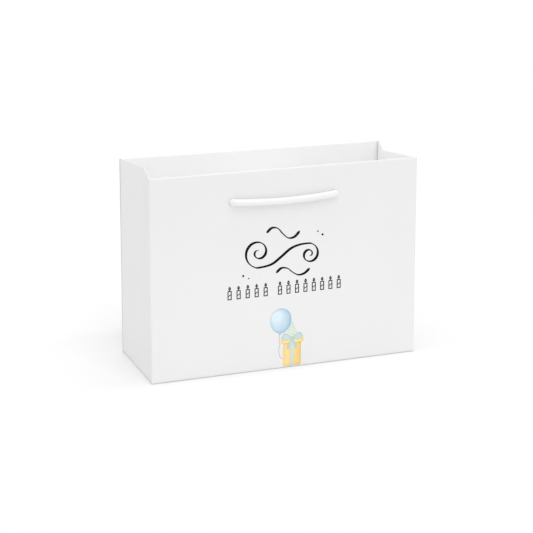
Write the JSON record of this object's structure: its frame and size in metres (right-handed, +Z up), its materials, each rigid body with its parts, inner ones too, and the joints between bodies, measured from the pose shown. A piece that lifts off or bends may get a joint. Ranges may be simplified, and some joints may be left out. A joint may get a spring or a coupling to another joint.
{
  "type": "gift bag",
  "caption": "White laminated paper gift bag with side gussets, a turned-in rim, a loose base card and rope handles pulled in.",
  "frame": {"origin": "middle of the base, on the surface that the bag stands on", "axes": "+Z up, +X along the width, to the right as seen facing the printed front, and -Y out of the printed front panel"},
  "size_m": [0.25, 0.096, 0.18],
  "materials": {
    "outer_paper": "matte",
    "inner_paper": "matte",
    "board": "matte",
    "rope": "matte"
  },
  "bodies": {
    "root": {"left_gusset_front": "outer_paper", "left_gusset_rear": "outer_paper", "left_gusset_foot": "outer_paper", "right_gusset_front": "outer_paper", "right_gusset_rear": "outer_paper", "right_gusset_foot": "outer_paper", "left_turn_in": "inner_paper", "right_turn_in": "inner_paper", "base_front_flap": "outer_paper", "base_rear_flap": "outer_paper", "base_left_flap": "inner_paper", "base_right_flap": "inner_paper"},
    "front_wall": {"front_panel": "outer_paper", "front_turn_in": "inner_paper", "front_board": "board"},
    "back_wall": {"back_panel": "outer_paper", "seam_flap": "inner_paper", "back_turn_in": "inner_paper", "back_board": "board"},
    "card": {"base_card": "board"},
    "front_handle": {"front_cord_grip": "rope"},
    "front_ends": {"front_cord_tails": "rope", "front_knots": "rope"},
    "back_handle": {"back_cord_grip": "rope"},
    "back_ends": {"back_cord_tails": "rope", "back_knots": "rope"}
  },
  "joints": [
    {"name": "front_wall_lean", "type": "hinge", "parent": "root", "child": "front_wall", "pos_m": [0, -0.045, 0], "axis": [-1, 0, 0], "range_deg": [-1.2, 6], "stiffness_Nm_per_rad": 0.15, "deforming": ["left_gusset_front", "right_gusset_front", "left_turn_in", "right_turn_in"]},
    {"name": "back_wall_lean", "type": "hinge", "parent": "root", "child": "back_wall", "pos_m": [0, 0.045, 0], "axis": [1, 0, 0], "range_deg": [-1.2, 6], "stiffness_Nm_per_rad": 0.15, "deforming": ["left_gusset_rear", "right_gusset_rear", "left_turn_in", "right_turn_in"]},
    {"name": "card_tilt", "type": "hinge", "parent": "root", "child": "card", "pos_m": [0, 0.0415, 0.0012], "axis": [-1, 0, 0], "range_deg": [0, 18]},
    {"name": "front_handle_pull", "type": "slide", "parent": "front_wall", "child": "front_handle", "axis": [0, -0.866, 0.5], "range_m": [0, 0.09]},
    {"name": "front_ends_lift", "type": "slide", "parent": "front_wall", "child": "front_ends", "axis": [0, 0.0222, 0.9998], "range_m": [0, 0.09], "deforming": ["front_cord_tails"]},
    {"name": "back_handle_pull", "type": "slide", "parent": "back_wall", "child": "back_handle", "axis": [0, 0.866, 0.5], "range_m": [0, 0.09]},
    {"name": "back_ends_lift", "type": "slide", "parent": "back_wall", "child": "back_ends", "axis": [0, -0.0222, 0.9998], "range_m": [0, 0.09], "deforming": ["back_cord_tails"]}
  ],
  "couplings": [
    {"joint": "front_ends_lift", "follows": "front_handle_pull", "ratio": 1},
    {"joint": "back_ends_lift", "follows": "back_handle_pull", "ratio": 1}
  ]
}
